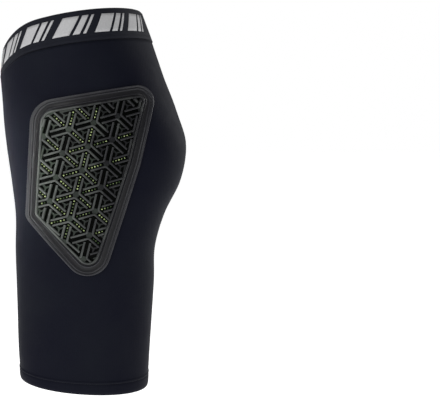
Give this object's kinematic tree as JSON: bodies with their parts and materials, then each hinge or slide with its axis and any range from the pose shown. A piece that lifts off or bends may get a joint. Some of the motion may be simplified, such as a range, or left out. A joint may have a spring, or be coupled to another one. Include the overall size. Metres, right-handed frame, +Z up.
{
  "type": "padded sports shorts with hip pads",
  "caption": "Close-fitting padded shorts with an elastic waistband, a padded seat insert and a raised, pierced guard on each hip.",
  "frame": {"origin": "middle of the waist opening, halfway up the waistband", "axes": "+Z up, the wearer faces -Y, +X to the wearer's left"},
  "size_m": [0.379, 0.2624, 0.5225],
  "materials": {
    "fabric": "matt stretch knit, near black",
    "thread": "flat overlocked seam thread, near black",
    "elastic": "woven elastic, near black",
    "foam": "fabric-covered soft foam, near black",
    "rubber": "satin moulded rubber, charcoal",
    "ribs": "satin moulded rubber, charcoal",
    "green": "yellow-green textured backing"
  },
  "bodies": {
    "root": {"left_leg_panel": "fabric", "right_leg_panel": "fabric", "centre_seam": "thread", "waistband": "elastic", "waistband_join": "elastic", "seat_pad": "foam", "left_guard_flange": "rubber", "right_guard_flange": "rubber", "left_guard_backing": "green", "right_guard_backing": "green", "left_guard_plate": "ribs", "right_guard_plate": "ribs"}
  },
  "joints": []
}
